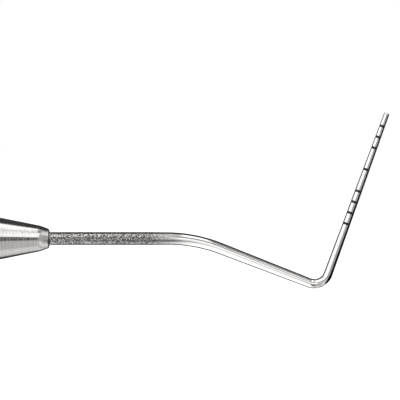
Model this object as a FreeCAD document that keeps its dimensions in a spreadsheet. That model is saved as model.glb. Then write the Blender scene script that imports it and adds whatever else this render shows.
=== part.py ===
import FreeCAD, Part
import math
import os
import Sketcher
from FreeCAD import Placement, Rotation, Vector

# Single-ended periodontal probe: a hollow round steel handle that carries a bent,
# tapered wire tip with black depth marks.  Millimetres.  The handle lies along X
# with the tip towards +X and turned up, in the XZ plane.  Z = 0 is the surface
# that the handle lies on, and X = 0 is halfway along the instrument.

doc = FreeCAD.newDocument("PeriodontalProbe")

# ---------------------------------------------------------------- driving dimensions
DIMENSIONS = [
    ("handle_diameter", 9.5),
    ("tube_length", 106.0),
    ("tube_wall", 0.7),
    ("joint_gap", 0.02),
    ("seam_chamfer", 0.2),
    ("nose_front_diameter", 1.94),
    ("nose_half_angle", 11.4),
    ("nose_face_diameter", 1.68),
    ("nose_lead_length", 0.75),
    ("nose_lead_radius", 3.0),
    ("nose_edge_radius", 0.1),
    ("nose_shoulder", 1.2),
    ("nose_spigot_length", 9.0),
    ("nose_hollow_diameter", 5.0),
    ("nose_hollow_depth", 12.0),
    ("plug_head_length", 6.0),
    ("plug_edge_radius", 3.2),
    ("plug_spigot_length", 7.0),
    ("plug_hollow_diameter", 5.0),
    ("plug_hollow_depth", 6.0),
    ("band_length", 8.0),
    ("band_depth", 0.12),
    ("ring_groove_width", 0.5),
    ("ring_groove_depth", 0.32),
    ("band_pitch", 11.0),
    ("front_band_start", 2.0),
    ("front_band_count", 3),
    ("rear_band_end", 6.0),
    ("rear_band_count", 2),
    ("shank_diameter", 1.127),
    ("shank_straight", 8.8),
    ("tang_length", 11.0),
    ("socket_spare", 0.5),
    ("bend_distance", 12.65),
    ("bend_angle", 21.17),
    ("bend_radius", 13.0),
    ("slope_length", 11.93),
    ("elbow_angle", 91.07),
    ("elbow_radius", 1.28),
    ("tip_length", 16.14),
    ("tip_diameter", 0.478),
    ("tip_edge_radius", 0.05),
    ("mark_width", 0.21),
    ("mark_offset", 0.2),
    ("mark_depth", 0.06),
    ("fillet_height", 0.28),
    ("fillet_length", 0.16),
    ("fillet_waist", 0.3),
    ("cut_margin", 0.5),
]

# Depth marks of the Williams pattern, in millimetres from the tip end.  The middle
# of each mark lies mark_offset beyond its whole millimetre.
MARK_DEPTHS = [1, 2, 3, 5, 7, 8, 9, 10]

sheet = doc.addObject("Spreadsheet::Sheet", "Dims")
for row, (alias, value) in enumerate(DIMENSIONS, start=1):
    sheet.set("A%d" % row, alias)
    sheet.set("B%d" % row, str(value))
    sheet.setAlias("B%d" % row, alias)
doc.recompute()

# ---------------------------------------------------------------- derived lengths
# Each is an expression on the sheet, used to bind sizes and placements.
HANDLE_RADIUS = "Dims.handle_diameter / 2"
BORE_RADIUS = "(Dims.handle_diameter / 2 - Dims.tube_wall)"
SPIGOT_RADIUS = "(Dims.handle_diameter / 2 - Dims.tube_wall - Dims.joint_gap)"
CONE_LENGTH = ("((Dims.handle_diameter - Dims.nose_front_diameter) / 2"
               " / tan(Dims.nose_half_angle * 1deg))")
LEAD_RADIUS = ("(Dims.nose_front_diameter / 2"
               " + Dims.nose_lead_length * tan(Dims.nose_half_angle * 1deg))")
NOSE_LENGTH = "(" + CONE_LENGTH + " + Dims.nose_shoulder)"
REAR_REACH = "(" + NOSE_LENGTH + " + Dims.tube_length + Dims.plug_head_length)"
TIP_RISE = "((Dims.elbow_angle - Dims.bend_angle) * 1deg)"
TIP_END_X = ("(Dims.bend_distance + Dims.slope_length * cos(Dims.bend_angle * 1deg)"
             " + Dims.tip_length * cos(" + TIP_RISE + "))")
TIP_END_Z = ("(Dims.tip_length * sin(" + TIP_RISE + ")"
             " - Dims.slope_length * sin(Dims.bend_angle * 1deg))")
TIP_REACH = "(" + TIP_END_X + " + Dims.tip_diameter / 2 * sin(" + TIP_RISE + "))"
NOSE_FRONT_X = "((" + REAR_REACH + " - " + TIP_REACH + ") / 2)"
TUBE_FRONT_X = "(" + NOSE_FRONT_X + " - " + NOSE_LENGTH + ")"
TUBE_REAR_X = "(" + TUBE_FRONT_X + " - Dims.tube_length)"
ELBOW_TANGENT = "(Dims.elbow_radius * tan(Dims.elbow_angle * 1deg / 2))"
BEND_TANGENT = "(Dims.bend_radius * tan(Dims.bend_angle * 1deg / 2))"
TIP_RUN = "(Dims.tip_length - " + ELBOW_TANGENT + ")"
SLOPE_RUN = "(Dims.slope_length - " + ELBOW_TANGENT + " - " + BEND_TANGENT + ")"
LEAD_RUN = "(Dims.bend_distance - Dims.shank_straight - " + BEND_TANGENT + ")"
TAPER_PATH = ("(" + TIP_RUN + " + Dims.elbow_radius * Dims.elbow_angle * pi / 180 + "
              + SLOPE_RUN + " + Dims.bend_radius * Dims.bend_angle * pi / 180 + "
              + LEAD_RUN + ")")
TAPER = "((Dims.shank_diameter - Dims.tip_diameter) / 2 / " + TAPER_PATH + ")"


def number(expression):
    """The plain value of an expression on the sheet."""
    value = sheet.evalExpression(expression)
    return float(getattr(value, "Value", value))


# ---------------------------------------------------------------- helpers
def new_body(name):
    body = doc.addObject("PartDesign::Body", name)
    body.Label = name
    return body


def origin_plane(body, role):
    return next(item for item in body.Origin.OriginFeatures if item.Role == role)


def place(body, x="0", z=HANDLE_RADIUS, tilt="0"):
    """Bind the body's place: along X, up Z, and turned about the Y axis."""
    body.Placement = Placement(Vector(0, 0, 0), Rotation(Vector(0, 1, 0), 1))
    body.setExpression("Placement.Base.x", x)
    body.setExpression("Placement.Base.z", z)
    body.setExpression("Placement.Rotation.Angle", tilt)


def flat_sketch(body, name, role="XZ_Plane"):
    sketch = body.newObject("Sketcher::SketchObject", name)
    sketch.AttachmentSupport = [(origin_plane(body, role), "")]
    sketch.MapMode = "FlatFace"
    return sketch


def bind_point(sketch, geometry, end, x, y, label):
    """Fix one end of a sketch line at (x, y), each an expression on the sheet."""
    for axis, kind, expression in (("x", "DistanceX", x), ("y", "DistanceY", y)):
        value = number(expression)
        if abs(value) < 1e-9:
            on_axis = -2 if axis == "x" else -1
            sketch.addConstraint(Sketcher.Constraint("PointOnObject", geometry, end, on_axis))
            continue
        index = sketch.addConstraint(Sketcher.Constraint(kind, -1, 1, geometry, end, value))
        sketch.renameConstraint(index, "%s_%s" % (label, axis))
        sketch.setExpression("Constraints.%s_%s" % (label, axis), expression)


def closed_outline(sketch, points):
    """Straight closed outline through points given as (x, y) expressions."""
    corners = [Vector(number(x), number(y), 0) for x, y in points]
    first = sketch.GeometryCount
    count = len(corners)
    for index in range(count):
        sketch.addGeometry(Part.LineSegment(corners[index], corners[(index + 1) % count]), False)
    for index in range(count):
        following = first + (index + 1) % count
        sketch.addConstraint(Sketcher.Constraint("Coincident", first + index, 2, following, 1))
    for index, (x, y) in enumerate(points):
        bind_point(sketch, first + index, 1, x, y, "p%d" % (first + index))


def turned(body, sketch, axis="H_Axis", kind="PartDesign::Revolution", name="turned"):
    """A full turn of the sketch about one of its own axes."""
    feature = body.newObject(kind, name)
    feature.Profile = sketch
    feature.ReferenceAxis = (sketch, [axis])
    feature.Angle = 360
    sketch.Visibility = False
    doc.recompute()
    return feature


def edges_at(shape, x, radius):
    """Names of the circular edges at a station along X, with a given radius."""
    names = []
    for index, edge in enumerate(shape.Edges, start=1):
        curve = edge.Curve
        if not isinstance(curve, Part.Circle):
            continue
        if abs(curve.Center.x - x) < 1e-6 and abs(curve.Radius - radius) < 1e-6:
            names.append("Edge%d" % index)
    return names


def dressed(body, base, kind, name, edge_names, size_property, size):
    """A fillet or chamfer on named edges of a feature, its size bound to the sheet."""
    feature = body.newObject(kind, name)
    feature.Base = (base, edge_names)
    feature.setExpression(size_property, size)
    doc.recompute()
    return feature


# ---------------------------------------------------------------- working end
# Local frame: the tip end is the origin, and the tip's axis is local Z, pointing
# out of the end.  From there the centreline runs back down the tip, round the
# elbow, up the slope and through the long bend into the straight shank.
def heading_vector(degrees):
    return Vector(math.cos(math.radians(degrees)), math.sin(math.radians(degrees)), 0)


def working_end_path(body):
    sketch = flat_sketch(body, "centreline")
    elbow_radius, bend_radius = number("Dims.elbow_radius"), number("Dims.bend_radius")
    slope_heading = 270 - number("Dims.elbow_angle")
    shank_heading = slope_heading + number("Dims.bend_angle")
    slope_way, shank_way = heading_vector(slope_heading), heading_vector(shank_heading)

    elbow_start = Vector(0, -number(TIP_RUN), 0)
    elbow_centre = elbow_start - Vector(elbow_radius, 0, 0)
    elbow_end = elbow_centre + heading_vector(slope_heading + 90) * elbow_radius
    bend_start = elbow_end + slope_way * number(SLOPE_RUN)
    bend_centre = bend_start + heading_vector(slope_heading + 90) * bend_radius
    bend_end = bend_centre + heading_vector(shank_heading - 90) * bend_radius
    lead_end = bend_end + shank_way * number(LEAD_RUN)

    up = Vector(0, 0, 1)
    tip_line = sketch.addGeometry(Part.LineSegment(Vector(0, 0, 0), elbow_start))
    elbow = sketch.addGeometry(Part.ArcOfCircle(
        Part.Circle(elbow_centre, up, elbow_radius),
        math.radians(slope_heading + 90), math.radians(360)))
    slope_line = sketch.addGeometry(Part.LineSegment(elbow_end, bend_start))
    bend = sketch.addGeometry(Part.ArcOfCircle(
        Part.Circle(bend_centre, up, bend_radius),
        math.radians(slope_heading - 90), math.radians(shank_heading - 90)))
    lead_line = sketch.addGeometry(Part.LineSegment(bend_end, lead_end))

    sketch.addConstraint(Sketcher.Constraint("Coincident", tip_line, 1, -1, 1))
    sketch.addConstraint(Sketcher.Constraint("Vertical", tip_line))
    sketch.addConstraint(Sketcher.Constraint("Tangent", tip_line, 2, elbow, 2))
    sketch.addConstraint(Sketcher.Constraint("Tangent", elbow, 1, slope_line, 1))
    sketch.addConstraint(Sketcher.Constraint("Tangent", slope_line, 2, bend, 1))
    sketch.addConstraint(Sketcher.Constraint("Tangent", bend, 2, lead_line, 1))
    for kind, item, label, expression in (
            ("Distance", tip_line, "tip_run", TIP_RUN),
            ("Radius", elbow, "elbow_radius", "Dims.elbow_radius"),
            ("Distance", slope_line, "slope_run", SLOPE_RUN),
            ("Angle", slope_line, "slope_heading", "(270 - Dims.elbow_angle) * 1deg"),
            ("Radius", bend, "bend_radius", "Dims.bend_radius"),
            ("Distance", lead_line, "lead_run", LEAD_RUN),
            ("Angle", lead_line, "shank_heading",
             "(270 - Dims.elbow_angle + Dims.bend_angle) * 1deg")):
        value = number(expression)
        if kind == "Angle":
            value = math.radians(value)
        index = sketch.addConstraint(Sketcher.Constraint(kind, item, value))
        sketch.renameConstraint(index, label)
        sketch.setExpression("Constraints." + label, expression)
    doc.recompute()
    return sketch


def wire_section(body, path, name, edge, along, diameter):
    """A round section square to the centreline."""
    sketch = body.newObject("Sketcher::SketchObject", name)
    sketch.AttachmentSupport = [(path, edge)]
    sketch.MapMode = "NormalToEdge"
    sketch.MapPathParameter = along
    circle = sketch.addGeometry(Part.Circle(Vector(0, 0, 0), Vector(0, 0, 1), number(diameter) / 2))
    sketch.addConstraint(Sketcher.Constraint("Coincident", circle, 3, -1, 1))
    index = sketch.addConstraint(Sketcher.Constraint("Diameter", circle, number(diameter)))
    sketch.renameConstraint(index, "diameter")
    sketch.setExpression("Constraints.diameter", diameter)
    return sketch


def mark_profile(body, depth, inner, outer):
    """A small rectangle at a depth from the tip end, turned about the tip's axis."""
    low = "-(%s + Dims.mark_width / 2)" % mark_station(depth)
    high = "-(%s - Dims.mark_width / 2)" % mark_station(depth)
    sketch = flat_sketch(body, "profile_%02dmm" % depth)
    closed_outline(sketch, [(inner, low), (outer, low), (outer, high), (inner, high)])
    return sketch


def mark_station(depth):
    """Distance from the tip end to the middle of a mark."""
    return "(%g + Dims.mark_offset)" % depth


def surface_radius(depth):
    """Radius of the wire at the middle of a mark."""
    return "(Dims.tip_diameter / 2 + %s * %s)" % (TAPER, mark_station(depth))


WORKING_END_PLACE = {
    "x": NOSE_FRONT_X + " + " + TIP_END_X,
    "z": HANDLE_RADIUS + " + " + TIP_END_Z,
    "tilt": "90deg - " + TIP_RISE,
}


def make_working_end():
    body = new_body("working_end")
    path = working_end_path(body)
    tip_section = wire_section(body, path, "tip_section", "Edge1", 0, "Dims.tip_diameter")
    shank_section = wire_section(body, path, "shank_section", "Edge5", 1, "Dims.shank_diameter")
    doc.recompute()

    wire = body.newObject("PartDesign::AdditivePipe", "tapered_wire")
    wire.Profile = tip_section
    wire.Spine = (path, ["Edge%d" % index for index in range(1, 6)])
    wire.Transformation = "Multisection"
    wire.Sections = [shank_section]
    doc.recompute()

    straight = body.newObject("PartDesign::Pad", "straight_shank_and_tang")
    straight.Profile = shank_section
    straight.setExpression("Length", "Dims.shank_straight + Dims.tang_length")
    straight.Reversed = True
    doc.recompute()

    tip_edges = ["Edge%d" % index for index, edge in enumerate(straight.Shape.Edges, start=1)
                 if edge.BoundBox.ZMin > -1e-6]
    dressed(body, straight, "PartDesign::Fillet", "tip_rounding", tip_edges,
            "Radius", "Dims.tip_edge_radius")

    for depth in MARK_DEPTHS:
        floor_radius = surface_radius(depth) + " - Dims.mark_depth"
        profile = mark_profile(body, depth, floor_radius, surface_radius(depth) + " + Dims.cut_margin")
        turned(body, profile, "V_Axis", "PartDesign::Groove", "groove_%02dmm" % depth)
    place(body, **WORKING_END_PLACE)
    return body


def make_depth_mark(depth):
    body = new_body("depth_mark_%02dmm" % depth)
    floor_radius = surface_radius(depth) + " - Dims.mark_depth"
    profile = mark_profile(body, depth, floor_radius, surface_radius(depth))
    turned(body, profile, "V_Axis", name="ring")
    place(body, **WORKING_END_PLACE)
    return body


# ---------------------------------------------------------------- braze fillet
def make_braze_fillet():
    """Small hollow-sided ring that seals the shank to the face of the nose."""
    body = new_body("shank_braze_fillet")
    sketch = flat_sketch(body, "profile")
    shank, outer = "Dims.shank_diameter / 2", "Dims.shank_diameter / 2 + Dims.fillet_height"
    waist = "Dims.shank_diameter / 2 + Dims.fillet_height * Dims.fillet_waist"
    closed_outline(sketch, [("0", shank), ("Dims.fillet_length", shank),
                            ("Dims.fillet_length * Dims.fillet_waist", waist), ("0", outer)])
    turned(body, sketch)
    place(body, NOSE_FRONT_X)
    return body


# ---------------------------------------------------------------- nose cone
def make_nose_cone():
    """Turned cone from the shank to the handle, with a spigot inside the tube.

    A steeper lead, blended into the cone, makes the front end look bowed.
    """
    body = new_body("nose_cone")
    sketch = flat_sketch(body, "profile")
    bore = "Dims.shank_diameter / 2 + Dims.joint_gap"
    socket = "-(Dims.tang_length + Dims.socket_spare)"
    shoulder, rear = "-" + NOSE_LENGTH, "-(" + NOSE_LENGTH + " + Dims.nose_spigot_length)"
    hollow = "Dims.nose_hollow_diameter / 2"
    hollow_end = "-(" + NOSE_LENGTH + " + Dims.nose_spigot_length - Dims.nose_hollow_depth)"
    closed_outline(sketch, [
        ("0", bore), ("0", "Dims.nose_face_diameter / 2"),
        ("-Dims.nose_lead_length", LEAD_RADIUS),
        ("-" + CONE_LENGTH, HANDLE_RADIUS), (shoulder, HANDLE_RADIUS),
        (shoulder, SPIGOT_RADIUS), (rear, SPIGOT_RADIUS), (rear, hollow),
        (hollow_end, hollow), (hollow_end, "0"), (socket, "0"), (socket, bore)])
    cone = turned(body, sketch)
    lead = edges_at(cone.Shape, number("-Dims.nose_lead_length"), number(LEAD_RADIUS))
    bowed = dressed(body, cone, "PartDesign::Fillet", "lead_blend", lead,
                    "Radius", "Dims.nose_lead_radius")
    front = edges_at(bowed.Shape, 0, number("Dims.nose_face_diameter / 2"))
    rounded = dressed(body, bowed, "PartDesign::Fillet", "front_rounding", front,
                      "Radius", "Dims.nose_edge_radius")
    seam = edges_at(rounded.Shape, number(shoulder), number(HANDLE_RADIUS))
    dressed(body, rounded, "PartDesign::Chamfer", "seam_chamfer", seam,
            "Size", "Dims.seam_chamfer")
    place(body, NOSE_FRONT_X)
    return body


# ---------------------------------------------------------------- handle tube
def band_outline(body, name, start):
    """Shallow recess of a knurled band, with a deeper ring groove at each end."""
    sketch = flat_sketch(body, name)
    outside = HANDLE_RADIUS + " + Dims.cut_margin"
    crest = HANDLE_RADIUS + " - Dims.band_depth"
    groove = HANDLE_RADIUS + " - Dims.ring_groove_depth"
    front, rear = "-(%s)" % start, "-(%s + Dims.band_length)" % start
    front_inner = "-(%s + Dims.ring_groove_width)" % start
    rear_inner = "-(%s + Dims.band_length - Dims.ring_groove_width)" % start
    closed_outline(sketch, [
        (front, outside), (front, groove), (front_inner, groove), (front_inner, crest),
        (rear_inner, crest), (rear_inner, groove), (rear, groove), (rear, outside)])
    return sketch


def band_row(body, name, start, count):
    """A row of equal bands along the tube."""
    groove = turned(body, band_outline(body, name + "_profile", start),
                    kind="PartDesign::Groove", name=name + "_groove")
    row = body.newObject("PartDesign::LinearPattern", name + "_row")
    row.Originals = [groove]
    row.Direction = (origin_plane(body, "X_Axis"), [""])
    row.Reversed = True
    row.Mode = "Spacing"
    row.setExpression("Offset", "Dims.band_pitch")
    row.setExpression("Occurrences", count)
    body.Tip = row
    doc.recompute()
    return row


def make_handle_tube():
    body = new_body("handle_tube")
    sketch = flat_sketch(body, "wall")
    rear = "-Dims.tube_length"
    closed_outline(sketch, [("0", BORE_RADIUS), ("0", HANDLE_RADIUS),
                            (rear, HANDLE_RADIUS), (rear, BORE_RADIUS)])
    wall = turned(body, sketch)
    rims = [name for x in (0, number(rear))
            for name in edges_at(wall.Shape, x, number(HANDLE_RADIUS))]
    dressed(body, wall, "PartDesign::Chamfer", "rim_chamfers", rims, "Size", "Dims.seam_chamfer")
    band_row(body, "front_bands", "Dims.front_band_start", "Dims.front_band_count")
    rear_start = ("(Dims.tube_length - Dims.rear_band_end - Dims.band_length"
                  " - Dims.band_pitch * (Dims.rear_band_count - 1))")
    band_row(body, "rear_bands", rear_start, "Dims.rear_band_count")
    place(body, TUBE_FRONT_X)
    return body


# ---------------------------------------------------------------- rear plug
def make_rear_plug():
    """Rounded end cap with a hollow spigot inside the tube."""
    body = new_body("rear_plug")
    sketch = flat_sketch(body, "profile")
    head = "-Dims.plug_head_length"
    spigot, hollow = "Dims.plug_spigot_length", "Dims.plug_hollow_diameter / 2"
    hollow_end = "(Dims.plug_spigot_length - Dims.plug_hollow_depth)"
    closed_outline(sketch, [
        (head, "0"), (hollow_end, "0"), (hollow_end, hollow), (spigot, hollow),
        (spigot, SPIGOT_RADIUS), ("0", SPIGOT_RADIUS), ("0", HANDLE_RADIUS),
        (head, HANDLE_RADIUS)])
    cap = turned(body, sketch)
    end = edges_at(cap.Shape, number(head), number(HANDLE_RADIUS))
    rounded = dressed(body, cap, "PartDesign::Fillet", "end_rounding", end,
                      "Radius", "Dims.plug_edge_radius")
    seam = edges_at(rounded.Shape, 0, number(HANDLE_RADIUS))
    dressed(body, rounded, "PartDesign::Chamfer", "seam_chamfer", seam,
            "Size", "Dims.seam_chamfer")
    place(body, TUBE_REAR_X)
    return body


# ---------------------------------------------------------------- assembly and export
parts = [make_working_end()]
parts += [make_depth_mark(depth) for depth in MARK_DEPTHS]
parts += [make_braze_fillet(), make_nose_cone(), make_handle_tube(), make_rear_plug()]
doc.recompute()

for item in doc.Objects:
    if "Invalid" in item.State or "Error" in item.State:
        raise RuntimeError("%s did not build: %s" % (item.Label, item.State))
for body in parts:
    if body.Shape.isNull() or not body.Shape.isValid() or len(body.Shape.Solids) != 1:
        raise RuntimeError(body.Label + " is not one valid solid")

os.makedirs("parts", exist_ok=True)
for body in parts:
    body.Shape.exportStep("parts/%s.step" % body.Label)
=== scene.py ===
import math

import bpy
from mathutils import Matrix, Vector


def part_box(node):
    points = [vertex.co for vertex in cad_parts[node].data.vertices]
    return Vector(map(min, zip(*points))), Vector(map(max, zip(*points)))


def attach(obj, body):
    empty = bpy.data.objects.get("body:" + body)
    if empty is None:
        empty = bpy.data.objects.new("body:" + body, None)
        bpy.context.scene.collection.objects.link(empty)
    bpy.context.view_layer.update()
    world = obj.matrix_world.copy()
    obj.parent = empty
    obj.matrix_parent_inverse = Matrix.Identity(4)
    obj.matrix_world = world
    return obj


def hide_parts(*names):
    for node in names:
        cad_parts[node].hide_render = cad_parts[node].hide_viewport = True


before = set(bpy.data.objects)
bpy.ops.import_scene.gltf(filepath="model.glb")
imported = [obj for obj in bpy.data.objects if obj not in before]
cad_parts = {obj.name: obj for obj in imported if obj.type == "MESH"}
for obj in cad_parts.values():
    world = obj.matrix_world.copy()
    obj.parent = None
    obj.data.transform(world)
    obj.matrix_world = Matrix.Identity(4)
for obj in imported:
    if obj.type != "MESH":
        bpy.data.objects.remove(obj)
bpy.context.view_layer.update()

MM = 0.001

# ---------------------------------------------------------------- places from the frame
TUBE_LOW, TUBE_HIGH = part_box("handle_tube")
PLUG_LOW, PLUG_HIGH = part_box("rear_plug")
BRAZE_LOW, BRAZE_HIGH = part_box("shank_braze_fillet")
NOSE_LOW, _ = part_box("nose_cone")

HANDLE_R = (TUBE_HIGH.z - TUBE_LOW.z) / 2 / MM
AXIS_Z = (TUBE_HIGH.z + TUBE_LOW.z) / 2 / MM
NOSE_FRONT = BRAZE_LOW.x / MM
TUBE_FRONT = TUBE_HIGH.x / MM
TUBE_REAR = TUBE_LOW.x / MM
PLUG_REAR = PLUG_LOW.x / MM
NOSE_REAR = NOSE_LOW.x / MM
PLUG_SPIGOT_END = PLUG_HIGH.x / MM

# ---------------------------------------------------------------- sizes, in millimetres
SHANK_R = 1.127 / 2
TIP_R = 0.478 / 2
SHANK_STRAIGHT = 8.8
TANG = 11.0
SOCKET_SPARE = 0.5
BEND_DISTANCE = 12.65
BEND_ANGLE = 21.17
BEND_RADIUS = 13.0
SLOPE_LENGTH = 11.93
ELBOW_ANGLE = 91.07
ELBOW_RADIUS = 1.28
TIP_LENGTH = 16.14
TIP_EDGE = 0.05
MARK_DEPTHS = (1, 2, 3, 5, 7, 8, 9, 10)
MARK_WIDTH = 0.21
MARK_OFFSET = 0.2
MARK_DEPTH = 0.06
BORE_R = SHANK_R + 0.02
NOSE_FRONT_R = 0.97
NOSE_HALF_ANGLE = 11.4
NOSE_FACE_R = 0.84
NOSE_LEAD = 0.75
NOSE_LEAD_BLEND = 3.0
NOSE_EDGE = 0.1
TUBE_BORE_R = HANDLE_R - 0.7
SPIGOT_R = TUBE_BORE_R - 0.02
HOLLOW_R = 2.5
NOSE_HOLLOW_DEPTH = 12.0
PLUG_HOLLOW_START = 1.0
SEAM = 0.2
BAND_LENGTH = 8.0
BAND_PITCH = 11.0
RING_GROOVE = 0.5
RING_GROOVE_DEPTH = 0.32
FRONT_BAND_START = 2.0
REAR_BAND_END = 6.0
REAR_BAND_START = TUBE_FRONT - TUBE_REAR - REAR_BAND_END - BAND_LENGTH - BAND_PITCH
BAND_STARTS = [FRONT_BAND_START + BAND_PITCH * n for n in range(3)]
BAND_STARTS += [REAR_BAND_START + BAND_PITCH * n for n in range(2)]
WIRE_SEGMENTS = 64
BODY_SEGMENTS = 216
KNURL_STARTS = 36
KNURL_PITCHES = 5
KNURL_STEPS = 6
KNURL_CREST = 0.03
KNURL_VALLEY = 0.32
PLUG_EDGE = 3.2


# ---------------------------------------------------------------- mesh helpers
def new_piece(name, vertices, faces, sharp_angle=30):
    """A smooth-shaded mesh object from points in millimetres, sharp above an angle."""
    mesh = bpy.data.meshes.new(name)
    mesh.from_pydata([Vector(v) * MM for v in vertices], [], faces)
    mesh.validate()
    mesh.polygons.foreach_set("use_smooth", [True] * len(mesh.polygons))
    mesh.set_sharp_from_angle(angle=math.radians(sharp_angle))
    piece = bpy.data.objects.new(name, mesh)
    bpy.context.collection.objects.link(piece)
    return piece


def ring_faces(first, second, count):
    """Quads between two rings of points that start at the given indices."""
    return [(first + k, first + (k + 1) % count, second + (k + 1) % count, second + k)
            for k in range(count)]


def lathe(name, profile, segments, origin, along, across, sharp_angle=30):
    """Turns a closed profile of (distance along the axis, radius) points round the axis.

    A point with no radius becomes a single pole.
    """
    third = along.cross(across)
    vertices, starts = [], []
    for distance, radius in profile:
        starts.append((len(vertices), radius > 0))
        if radius <= 0:
            vertices.append(origin + along * distance)
            continue
        for k in range(segments):
            angle = 2 * math.pi * k / segments
            spoke = across * math.cos(angle) + third * math.sin(angle)
            vertices.append(origin + along * distance + spoke * radius)
    faces = []
    for index, (first, first_ring) in enumerate(starts):
        second, second_ring = starts[(index + 1) % len(starts)]
        if first_ring and second_ring:
            faces += ring_faces(first, second, segments)
        elif first_ring:
            faces += [(first + k, first + (k + 1) % segments, second) for k in range(segments)]
        elif second_ring:
            faces += [(first, second + (k + 1) % segments, second + k) for k in range(segments)]
    return new_piece(name, vertices, faces, sharp_angle)


def arc_points(centre, radius, start, end, steps):
    """Points on an arc in the profile plane, angles in degrees."""
    points = []
    for k in range(steps + 1):
        angle = math.radians(start + (end - start) * k / steps)
        points.append((centre[0] + radius * math.cos(angle), centre[1] + radius * math.sin(angle)))
    return points


HANDLE_AXIS = Vector((1, 0, 0))
HANDLE_SIDE = Vector((0, 0, 1))


def on_axis(x):
    return Vector((x, 0, AXIS_Z))


# ---------------------------------------------------------------- centreline of the wire
def heading_vector(degrees):
    return Vector((math.cos(math.radians(degrees)), 0, math.sin(math.radians(degrees))))


class Centreline:
    """The wire's middle, from the tip end back to the end of the tang."""

    def __init__(self):
        rise = ELBOW_ANGLE - BEND_ANGLE
        elbow_tangent = ELBOW_RADIUS * math.tan(math.radians(ELBOW_ANGLE / 2))
        bend_tangent = BEND_RADIUS * math.tan(math.radians(BEND_ANGLE / 2))
        bend_vertex = Vector((NOSE_FRONT + BEND_DISTANCE, 0, AXIS_Z))
        elbow_vertex = bend_vertex + heading_vector(-BEND_ANGLE) * SLOPE_LENGTH
        self.point = elbow_vertex + heading_vector(rise) * TIP_LENGTH
        self.heading = rise + 180
        self.length = 0.0
        self.stations = []
        self.tip_end = self.point.copy()
        self.tip_axis = heading_vector(rise)
        lead = BEND_DISTANCE - SHANK_STRAIGHT - bend_tangent
        self.run(TIP_LENGTH - elbow_tangent, 60)
        self.turn(ELBOW_RADIUS, -ELBOW_ANGLE, 36)
        self.run(SLOPE_LENGTH - elbow_tangent - bend_tangent, 16)
        self.turn(BEND_RADIUS, BEND_ANGLE, 24)
        self.run(lead, 4)
        self.taper_length = self.length
        self.run(SHANK_STRAIGHT + TANG, 40)

    def add(self):
        self.stations.append((self.length, self.point.copy(), self.heading))

    def run(self, length, steps):
        start, begin = self.point.copy(), self.length
        for k in range(steps + 1):
            self.point = start + heading_vector(self.heading) * (length * k / steps)
            self.length = begin + length * k / steps
            if k or not self.stations:
                self.add()

    def turn(self, radius, angle, steps):
        side = 90 if angle > 0 else -90
        centre = self.point + heading_vector(self.heading + side) * radius
        start, begin = self.heading, self.length
        for k in range(1, steps + 1):
            self.heading = start + angle * k / steps
            self.point = centre - heading_vector(self.heading + side) * radius
            self.length = begin + math.radians(abs(angle)) * radius * k / steps
            self.add()


CENTRELINE = Centreline()


def wire_radius(distance):
    """Radius of the wire at a distance from the tip end, along the centreline."""
    share = min(distance / CENTRELINE.taper_length, 1)
    return TIP_R + (SHANK_R - TIP_R) * share


# ---------------------------------------------------------------- pieces
def make_wire():
    """The tapered wire, with a rounded tip end and a groove for each depth mark."""
    rings = []
    for point in arc_points((TIP_EDGE, 0), TIP_EDGE, 180, 90, 5):
        rings.append((point[0], wire_radius(TIP_EDGE) - TIP_EDGE + point[1]))
    grooves = [(middle - MARK_WIDTH / 2, middle + MARK_WIDTH / 2)
               for middle in (depth + MARK_OFFSET for depth in MARK_DEPTHS)]
    for distance, _, _ in CENTRELINE.stations:
        in_groove = any(low - 0.03 < distance < high + 0.03 for low, high in grooves)
        if distance > TIP_EDGE * 1.5 and not in_groove:
            rings.append((distance, wire_radius(distance)))
    for low, high in grooves:
        for distance, drop in ((low - 0.004, 0), (low, 0.004), (low, MARK_DEPTH),
                               (high, MARK_DEPTH), (high, 0.004), (high + 0.004, 0)):
            rings.append((distance, wire_radius(distance) - drop))
    rings.sort(key=lambda ring: ring[0])

    vertices, faces, along = [], [], []
    segments = WIRE_SEGMENTS
    side = Vector((0, 1, 0))
    for distance, radius in rings:
        centre, heading = centreline_at(distance)
        up = heading_vector(heading + 90)
        for k in range(segments):
            angle = 2 * math.pi * k / segments
            vertices.append(centre + (up * math.cos(angle) + side * math.sin(angle)) * radius)
            along.append(distance)
    for index in range(len(rings) - 1):
        faces += ring_faces(index * segments, (index + 1) * segments, segments)
    for ring, distance in ((0, 0.0), (len(rings) - 1, CENTRELINE.length)):
        pole = len(vertices)
        vertices.append(centreline_at(distance)[0])
        along.append(distance)
        first = ring * segments
        for k in range(segments):
            pair = (first + k, first + (k + 1) % segments)
            faces.append((*(pair if ring else reversed(pair)), pole))
    wire = new_piece("wire", vertices, faces, 35)
    layer = wire.data.attributes.new("along_mm", "FLOAT", "POINT")
    layer.data.foreach_set("value", along)
    return wire


def centreline_at(distance):
    """Point and heading of the centreline at a distance from the tip end."""
    stations = CENTRELINE.stations
    for before, after in zip(stations, stations[1:]):
        if distance <= after[0]:
            share = max(0.0, (distance - before[0]) / (after[0] - before[0]))
            return before[1].lerp(after[1], share), before[2] + (after[2] - before[2]) * share
    return stations[-1][1], stations[-1][2]


def make_mark(depth):
    """Black filling of one groove, very slightly sunk in the middle."""
    middle = depth + MARK_OFFSET
    low, high = middle - MARK_WIDTH / 2, middle + MARK_WIDTH / 2
    floor = wire_radius(middle) - MARK_DEPTH
    profile = [(-low, floor), (-high, floor), (-high, wire_radius(high) - 0.001),
               (-middle - MARK_WIDTH / 4, wire_radius(middle) - 0.004),
               (-middle, wire_radius(middle) - 0.005),
               (-middle + MARK_WIDTH / 4, wire_radius(middle) - 0.004),
               (-low, wire_radius(low) - 0.001)]
    return lathe("depth_ring_%02dmm" % depth, profile[::-1], WIRE_SEGMENTS, CENTRELINE.tip_end,
                 CENTRELINE.tip_axis, Vector((0, 1, 0)), 40)


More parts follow.
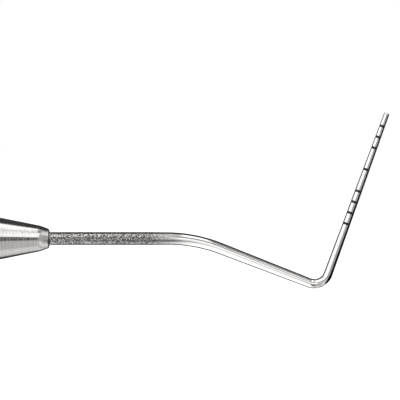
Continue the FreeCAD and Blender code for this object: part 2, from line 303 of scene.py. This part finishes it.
def make_braze():
    """Hollow-sided ring between the shank and the face of the nose."""
    length, height = (BRAZE_HIGH.x - BRAZE_LOW.x) / MM, (BRAZE_HIGH.z - BRAZE_LOW.z) / 2 / MM - SHANK_R
    profile = [(0, SHANK_R), (0, SHANK_R + height)]
    for k in range(1, 9):
        share = k / 8
        profile.append((length * share, SHANK_R + height * (1 - share) ** 2.2))
    return lathe("braze_ring", profile[::-1], 96, on_axis(NOSE_FRONT), HANDLE_AXIS, HANDLE_SIDE, 50)


def make_nose():
    """Turned cone with a bowed front end, a socket, a shoulder and a spigot."""
    half = math.radians(NOSE_HALF_ANGLE)
    lead_r = NOSE_FRONT_R + NOSE_LEAD * math.tan(half)
    lead = math.atan2(lead_r - NOSE_FACE_R, NOSE_LEAD)
    back = NOSE_EDGE * math.tan((math.pi / 2 - lead) / 2)
    rounding = arc_points((-NOSE_EDGE, NOSE_FACE_R - back), NOSE_EDGE,
                          0, 90 - math.degrees(lead), 12)
    tangent = NOSE_LEAD_BLEND * math.tan((lead - half) / 2)
    centre = (-NOSE_LEAD - tangent * math.cos(half) - NOSE_LEAD_BLEND * math.sin(half),
              lead_r + tangent * math.sin(half) - NOSE_LEAD_BLEND * math.cos(half))
    rounding += arc_points(centre, NOSE_LEAD_BLEND, 90 - math.degrees(lead), 90 - NOSE_HALF_ANGLE, 8)
    cone_end = -(HANDLE_R - NOSE_FRONT_R) / math.tan(half)
    shoulder = TUBE_FRONT - NOSE_FRONT
    rear = NOSE_REAR - NOSE_FRONT
    cone = []
    for k in range(1, 24):
        share = k / 24
        start = rounding[-1]
        cone.append((start[0] + (cone_end - start[0]) * share,
                     start[1] + (HANDLE_R - start[1]) * share))
    profile = [(-TANG - SOCKET_SPARE, 0), (-TANG - SOCKET_SPARE, BORE_R), (0, BORE_R), *rounding, *cone,
               (cone_end, HANDLE_R), (shoulder + SEAM, HANDLE_R), (shoulder, HANDLE_R - SEAM),
               (shoulder, SPIGOT_R), (rear, SPIGOT_R), (rear, HOLLOW_R),
               (rear + NOSE_HOLLOW_DEPTH, HOLLOW_R),
               (rear + NOSE_HOLLOW_DEPTH, 0)]
    return lathe("nose", profile, BODY_SEGMENTS, on_axis(NOSE_FRONT), HANDLE_AXIS, HANDLE_SIDE, 8)


def knurl_height(pitches, turn):
    """0 in a valley and 1 on a crest, for two crossed sets of V grooves."""
    heights = []
    for lane in (turn * KNURL_STARTS + pitches, turn * KNURL_STARTS - pitches):
        heights.append(min(1, abs(lane - round(lane)) * 3))
    return min(heights)


def make_handle():
    """Hollow tube with plain stretches, ring grooves and diamond knurled bands."""
    segments = KNURL_STARTS * KNURL_STEPS
    vertices, faces = [], []

    def add_ring(x, radius_of, half_step=0.0):
        first = len(vertices)
        for k in range(segments):
            turn = (k + half_step) / segments
            radius = radius_of(turn)
            angle = 2 * math.pi * turn
            vertices.append(on_axis(x) + Vector((0, math.sin(angle), math.cos(angle))) * radius)
        return first

    def plain(x, radius):
        return add_ring(x, lambda turn: radius)

    previous = plain(TUBE_FRONT, TUBE_BORE_R)
    start_ring = previous

    def join(ring):
        nonlocal previous
        faces.extend(ring_faces(ring, previous, segments))
        previous = ring

    join(plain(TUBE_FRONT, HANDLE_R - SEAM))
    join(plain(TUBE_FRONT - SEAM, HANDLE_R))
    for start in BAND_STARTS:
        front, rear = TUBE_FRONT - start, TUBE_FRONT - start - BAND_LENGTH
        ring_groove(join, plain, front, front - RING_GROOVE)
        inner = BAND_LENGTH - 2 * RING_GROOVE
        step = inner / (KNURL_PITCHES * KNURL_STEPS)
        for column in range(KNURL_PITCHES * KNURL_STEPS + 1):
            x = front - RING_GROOVE - step * column

            def radius_at(turn, pitches=column / KNURL_STEPS):
                lift = knurl_height(pitches, turn)
                return HANDLE_R - KNURL_VALLEY + (KNURL_VALLEY - KNURL_CREST) * lift

            if column == 0:
                join(add_ring(x, radius_at))
                continue

            def middle_radius(turn, pitches=(column - 0.5) / KNURL_STEPS):
                lift = knurl_height(pitches, turn)
                return HANDLE_R - KNURL_VALLEY + (KNURL_VALLEY - KNURL_CREST) * lift

            middle = add_ring(x + step / 2, middle_radius, 0.5)
            ring = add_ring(x, radius_at)
            for k in range(segments):
                after = (k + 1) % segments
                corners = (previous + k, previous + after, ring + after, ring + k)
                for one, two in zip(corners, corners[1:] + corners[:1]):
                    faces.append((two, one, middle + k))
            previous = ring
        ring_groove(join, plain, rear + RING_GROOVE, rear)
    join(plain(TUBE_REAR + SEAM, HANDLE_R))
    join(plain(TUBE_REAR, HANDLE_R - SEAM))
    join(plain(TUBE_REAR, TUBE_BORE_R))
    join(start_ring)
    return new_piece("handle", vertices, faces, 25)


def ring_groove(join, plain, front, rear):
    """Round-bottomed groove between two stations along the tube."""
    middle, half = (front + rear) / 2, (front - rear) / 2
    for k in range(9):
        angle = math.pi * k / 8
        join(plain(middle + half * math.cos(angle), HANDLE_R - RING_GROOVE_DEPTH * math.sin(angle)))


def make_end_cap():
    """Rounded cap with a hollow spigot inside the tube."""
    rear = PLUG_REAR - TUBE_REAR
    spigot = PLUG_SPIGOT_END - TUBE_REAR
    dome = arc_points((rear + PLUG_EDGE, HANDLE_R - PLUG_EDGE), PLUG_EDGE, 180, 90, 24)
    profile = [(rear, 0), *dome, (-SEAM, HANDLE_R), (0, HANDLE_R - SEAM), (0, SPIGOT_R),
               (spigot, SPIGOT_R), (spigot, HOLLOW_R),
               (PLUG_HOLLOW_START, HOLLOW_R), (PLUG_HOLLOW_START, 0)]
    return lathe("end_cap", profile[::-1], BODY_SEGMENTS, on_axis(TUBE_REAR), HANDLE_AXIS, HANDLE_SIDE, 25)


# ---------------------------------------------------------------- material helpers
class Nodes:
    """Short ways to add and join shader nodes."""

    def __init__(self, tree):
        self.tree = tree
        tree.nodes.clear()

    def add(self, kind, **settings):
        node = self.tree.nodes.new(kind)
        for key, value in settings.items():
            setattr(node, key, value)
        return node

    def feed(self, socket, value):
        if isinstance(value, bpy.types.NodeSocket):
            self.tree.links.new(value, socket)
        elif value is not None:
            socket.default_value = value

    def math(self, operation, one, two=None):
        node = self.add("ShaderNodeMath", operation=operation)
        self.feed(node.inputs[0], one)
        self.feed(node.inputs[1], two)
        return node.outputs[0]

    def ramp(self, value, low, high, start=0.0, end=1.0):
        node = self.add("ShaderNodeMapRange", interpolation_type="SMOOTHSTEP")
        for name, item in (("Value", value), ("From Min", low), ("From Max", high),
                           ("To Min", start), ("To Max", end)):
            self.feed(node.inputs[name], item)
        return node.outputs["Result"]

    def mix(self, factor, one, two):
        node = self.add("ShaderNodeMix", data_type="FLOAT")
        self.feed(node.inputs[0], factor)
        self.feed(node.inputs[2], one)
        self.feed(node.inputs[3], two)
        return node.outputs[0]

    def mix_colour(self, factor, one, two):
        node = self.add("ShaderNodeMix", data_type="RGBA")
        self.feed(node.inputs[0], factor)
        self.feed(node.inputs[6], one)
        self.feed(node.inputs[7], two)
        return node.outputs[2]

    def noise(self, vector, scale, detail=2.0, roughness=0.5, dimensions="3D"):
        node = self.add("ShaderNodeTexNoise", noise_dimensions=dimensions)
        self.feed(node.inputs["W" if dimensions == "1D" else "Vector"], vector)
        self.feed(node.inputs["Scale"], scale)
        self.feed(node.inputs["Detail"], detail)
        self.feed(node.inputs["Roughness"], roughness)
        return node.outputs["Fac"]

    def millimetres(self):
        """The point on the object, in millimetres, as a vector and as its three parts."""
        place = self.add("ShaderNodeTexCoord").outputs["Object"]
        scaled = self.add("ShaderNodeVectorMath", operation="SCALE")
        self.feed(scaled.inputs[0], place)
        self.feed(scaled.inputs["Scale"], 1000.0)
        parts = self.add("ShaderNodeSeparateXYZ")
        self.feed(parts.inputs[0], scaled.outputs[0])
        return scaled.outputs[0], parts.outputs

    def bump(self, height, strength, distance):
        node = self.add("ShaderNodeBump")
        self.feed(node.inputs["Height"], height)
        self.feed(node.inputs["Strength"], strength)
        self.feed(node.inputs["Distance"], distance)
        return node.outputs["Normal"]

    def surface(self, colour, roughness, normal=None, metallic=1.0):
        shader = self.add("ShaderNodeBsdfPrincipled")
        self.feed(shader.inputs["Base Color"], colour)
        self.feed(shader.inputs["Roughness"], roughness)
        self.feed(shader.inputs["Normal"], normal)
        shader.inputs["Metallic"].default_value = metallic
        output = self.add("ShaderNodeOutputMaterial")
        self.feed(output.inputs["Surface"], shader.outputs[0])
        return shader


def grey(value, warmth=0.0):
    return (value * (1 + warmth), value, value * (1 - warmth), 1)


def new_material(name):
    material = bpy.data.materials.new(name)
    material.use_nodes = True
    return material, Nodes(material.node_tree)


# ---------------------------------------------------------------- materials
def wire_material():
    """Blasted grain on the straight shank, running out into a polish at the bend."""
    material, n = new_material("wire_steel")
    place, _ = n.millimetres()
    along = n.add("ShaderNodeAttribute", attribute_name="along_mm").outputs["Fac"]
    fine = n.noise(place, 7.0, 3.0, 0.65)
    wobble = n.math("MULTIPLY", n.math("SUBTRACT", fine, 0.5), 2.0)
    edge = n.math("ADD", along, wobble)
    blasted = n.ramp(edge, CENTRELINE.taper_length - 3.2, CENTRELINE.taper_length + 0.4)
    pits = n.ramp(fine, 0.42, 0.62)
    streaks = n.noise(place, 1.6, 2.0)
    polished_colour = n.mix_colour(streaks, grey(0.68, 0.016), grey(0.78, 0.014))
    blasted_colour = n.mix_colour(pits, grey(0.10, 0.03), grey(0.62, 0.025))
    colour = n.mix_colour(blasted, polished_colour, blasted_colour)
    smear = n.noise(place, 3.0, 3.0)
    polished_rough = n.ramp(smear, 0.3, 0.7, 0.07, 0.13)
    blasted_rough = n.ramp(fine, 0.3, 0.7, 0.24, 0.15)
    rough = n.mix(blasted, polished_rough, blasted_rough)
    grain = n.bump(fine, n.mix(blasted, 0.02, 0.3), 0.00002)
    n.surface(colour, rough, grain)
    return material


def mark_material():
    """Dull black filling with a fine uneven surface."""
    material, n = new_material("mark_black")
    place, _ = n.millimetres()
    speck = n.noise(place, 22.0, 3.0, 0.6)
    colour = n.mix_colour(speck, grey(0.004), grey(0.018))
    rough = n.ramp(speck, 0.3, 0.7, 0.42, 0.62)
    shader = n.surface(colour, rough, n.bump(speck, 0.25, 0.000008), metallic=0.0)
    shader.inputs["Specular IOR Level"].default_value = 0.3
    return material


def braze_material():
    """Dull, slightly uneven braze metal."""
    material, n = new_material("braze")
    place, _ = n.millimetres()
    lumps = n.noise(place, 9.0, 4.0, 0.6)
    colour = n.mix_colour(lumps, grey(0.30, 0.03), grey(0.50, 0.035))
    rough = n.ramp(lumps, 0.3, 0.7, 0.28, 0.45)
    n.surface(colour, rough, n.bump(lumps, 0.35, 0.00002))
    return material


def turned_marks(n, x, coarse, fine):
    """Fine rings left by the tool, as height along the axis."""
    wide = n.noise(x, coarse, 2.0, 0.6, "1D")
    narrow = n.noise(x, fine, 1.0, 0.5, "1D")
    return n.math("ADD", n.math("MULTIPLY", wide, 0.7), n.math("MULTIPLY", narrow, 0.3))


def nose_material():
    """Bright turned steel: rings round the cone, with a faint mottle."""
    material, n = new_material("nose_steel")
    place, parts = n.millimetres()
    rings = turned_marks(n, parts[0], 5.0, 16.0)
    mottle = n.noise(place, 1.3, 3.0)
    tone = n.math("ADD", n.math("MULTIPLY", rings, 0.6), n.math("MULTIPLY", mottle, 0.4))
    colour = n.mix_colour(n.ramp(tone, 0.3, 0.7), grey(0.60, 0.028), grey(0.74, 0.022))
    rough = n.ramp(rings, 0.3, 0.7, 0.12, 0.20)
    n.surface(colour, rough, n.bump(rings, 0.35, 0.00001))
    return material


def handle_material():
    """Satin steel: fine rings, with painted shade darkening the knurl's valleys and other places below the
    outer radius, which are also rougher.
    """
    material, n = new_material("handle_steel")
    place, parts = n.millimetres()
    height = n.math("SUBTRACT", parts[2], AXIS_Z)
    square = n.math("ADD", n.math("MULTIPLY", parts[1], parts[1]), n.math("MULTIPLY", height, height))
    depth = n.math("SUBTRACT", HANDLE_R, n.math("SQRT", square))
    # Painted shade: the colour darkens to a dull grey wherever the surface lies below the tube's outer
    # radius, as in the knurl's valleys, the ring grooves, the seams and the end cap's rounded end. The
    # same mask also makes these places rougher.
    painted_shade_and_roughness_mask = n.ramp(depth, 0.05, 0.28)
    rings = turned_marks(n, parts[0], 4.0, 13.0)
    mottle = n.noise(place, 0.35, 4.0, 0.55)
    tone = n.math("ADD", n.math("MULTIPLY", rings, 0.55), n.math("MULTIPLY", mottle, 0.45))
    open_colour = n.mix_colour(n.ramp(tone, 0.3, 0.7), grey(0.56, 0.022), grey(0.66, 0.018))
    colour = n.mix_colour(painted_shade_and_roughness_mask, open_colour, grey(0.36, 0.02))
    rough = n.mix(painted_shade_and_roughness_mask, n.ramp(tone, 0.3, 0.7, 0.27, 0.36), 0.40)
    n.surface(colour, rough, n.bump(rings, 0.12, 0.00001))
    return material


# ---------------------------------------------------------------- studio
def make_floor():
    """Plain pale floor, lit evenly enough to read as white."""
    half = 2500.0
    corners = [(-half, -half, 0), (half, -half, 0), (half, half, 0), (-half, half, 0)]
    floor = new_piece("floor", corners, [(0, 1, 2, 3)])
    material, n = new_material("floor_white")
    shader = n.surface(grey(0.86), 0.9, metallic=0.0)
    shader.inputs["Specular IOR Level"].default_value = 0.0
    shader.inputs["Emission Color"].default_value = grey(1.0)
    shader.inputs["Emission Strength"].default_value = 0.3
    floor.data.materials.append(material)
    floor.visible_glossy = False


# Light from everywhere that no panel covers.
STUDIO_LIGHT = 0.5

# Each panel of the studio: its brightness, its reach along X as the direction's
# X part, its reach round the X axis in degrees (0 is towards -Y, 90 is up), and
# how soft its edges are in each.
PANELS = [
    (0.05, (-1.20, 0.55), (95, 200), (0.08, 5)),
    (0.05, (-1.20, 0.55), (-200, -122), (0.08, 7)),
    (0.03, (-0.50, -0.15), (-200, -112), (0.05, 5)),
    (0.95, (-0.72, 0.05), (16, 92), (0.03, 5)),
    (1.60, (-0.50, -0.01), (18, 80), (0.03, 6)),
    (1.80, (0.285, 0.45), (11, 51), (0.012, 2.5)),
    (1.70, (0.10, 0.292), (49, 92), (0.012, 4)),
    (0.34, (0.02, 0.285), (24, 50), (0.012, 3)),
    (0.34, (0.292, 0.60), (50, 96), (0.012, 3)),
    (1.00, (-0.14, 0.05), (-112, -26), (0.05, 8)),
    (1.60, (-0.42, -0.12), (-112, -12), (0.05, 4)),
    (0.62, (-1.20, -0.44), (-120, -10), (0.06, 8)),
    (1.75, (-0.80, -0.12), (-6, 36), (0.05, 6)),
    (1.55, (-1.20, -0.74), (22, 98), (0.10, 14)),
    (1.10, (0.50, 1.20), (38, 98), (0.05, 8)),
    (0.22, (0.45, 0.80), (106, 200), (0.05, 8)),
    (0.22, (0.45, 0.80), (-200, -118), (0.05, 8)),
    (0.60, (0.05, 0.42), (-70, -14), (0.08, 5)),
    (0.90, (0.12, 0.32), (-130, -70), (0.08, 8)),
    (1.05, (0.42, 0.56), (-112, -26), (0.05, 4)),
    (0.30, (-0.12, 0.01), (110, 200), (0.03, 6)),
    (0.01, (-0.16, -0.005), (-1, 28), (0.012, 3)),
    (0.12, (-0.055, 0.07), (-62, -22), (0.03, 8)),
    (1.45, (0.005, 0.17), (-3, 26), (0.012, 2)),
    (1.30, (-0.09, 0.00), (-16, -3), (0.012, 2)),
    (0.05, (0.27, 0.40), (-15, 11), (0.03, 2.0)),
    (0.50, (0.42, 1.20), (-20, 36), (0.03, 3)),
    (0.00, (0.62, 1.20), (-200, -22), (0.03, 2)),
    (0.30, (0.30, 0.80), (-200, -152), (0.05, 5)),
    (0.90, (0.50, 1.10), (126, 150), (0.08, 8)),
    (0.70, (-1.20, -0.93), (-200, 200), (0.05, 8)),
]


def make_world():
    """Soft studio light from all round, in large panels, with white seen behind the object."""
    world = bpy.data.worlds.new("studio")
    bpy.context.scene.world = world
    world.use_nodes = True
    n = Nodes(world.node_tree)
    way = n.add("ShaderNodeSeparateXYZ")
    n.feed(way.inputs[0], n.add("ShaderNodeTexCoord").outputs["Generated"])
    x, y, z = way.outputs
    turn = n.math("MULTIPLY", n.math("ARCTAN2", z, n.math("MULTIPLY", y, -1.0)), 180 / math.pi)
    light = STUDIO_LIGHT
    for brightness, reach, around, soft in PANELS:
        mask = None
        for value, (low, high), edge in ((x, reach, soft[0]), (turn, around, soft[1])):
            rise = n.ramp(value, low - edge, low + edge)
            fall = n.ramp(value, high - edge, high + edge, 1.0, 0.0)
            part = n.math("MULTIPLY", rise, fall)
            mask = part if mask is None else n.math("MULTIPLY", mask, part)
        light = n.mix(mask, light, brightness)
    path = n.add("ShaderNodeLightPath")
    light = n.mix(path.outputs["Is Diffuse Ray"], light, 1.15)
    light = n.mix(path.outputs["Is Camera Ray"], light, 1.0)
    background = n.add("ShaderNodeBackground")
    n.feed(background.inputs["Color"], (1, 1, 1, 1))
    n.feed(background.inputs["Strength"], light)
    output = n.add("ShaderNodeOutputWorld")
    n.feed(output.inputs["Surface"], background.outputs[0])
    world.cycles.sampling_method = "NONE"


def make_camera():
    """Level side view, square to the plane of the bent wire, close on the working end."""
    view_width = 34.69
    ahead_of_nose = 13.11
    height = 8.09
    lens = 250.0
    sensor = 36.0
    distance = view_width * lens / sensor
    camera = bpy.data.objects.new("camera", bpy.data.cameras.new("camera"))
    camera.data.lens = lens
    camera.data.sensor_width = sensor
    camera.data.clip_start = 0.01
    camera.data.clip_end = 20.0
    camera.location = Vector((NOSE_FRONT + ahead_of_nose, -distance, height)) * MM
    camera.rotation_euler = (math.radians(90), 0, 0)
    bpy.context.collection.objects.link(camera)
    bpy.context.scene.camera = camera


# ---------------------------------------------------------------- assembly
def fit(piece, node, material):
    piece.data.materials.append(material)
    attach(piece, "root")
    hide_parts(node)


handle_steel = handle_material()
black = mark_material()
fit(make_wire(), "working_end", wire_material())
for depth in MARK_DEPTHS:
    fit(make_mark(depth), "depth_mark_%02dmm" % depth, black)
fit(make_braze(), "shank_braze_fillet", braze_material())
fit(make_nose(), "nose_cone", nose_material())
fit(make_handle(), "handle_tube", handle_steel)
fit(make_end_cap(), "rear_plug", handle_steel)

make_floor()
make_world()
make_camera()
bpy.context.scene.view_settings.view_transform = "Standard"
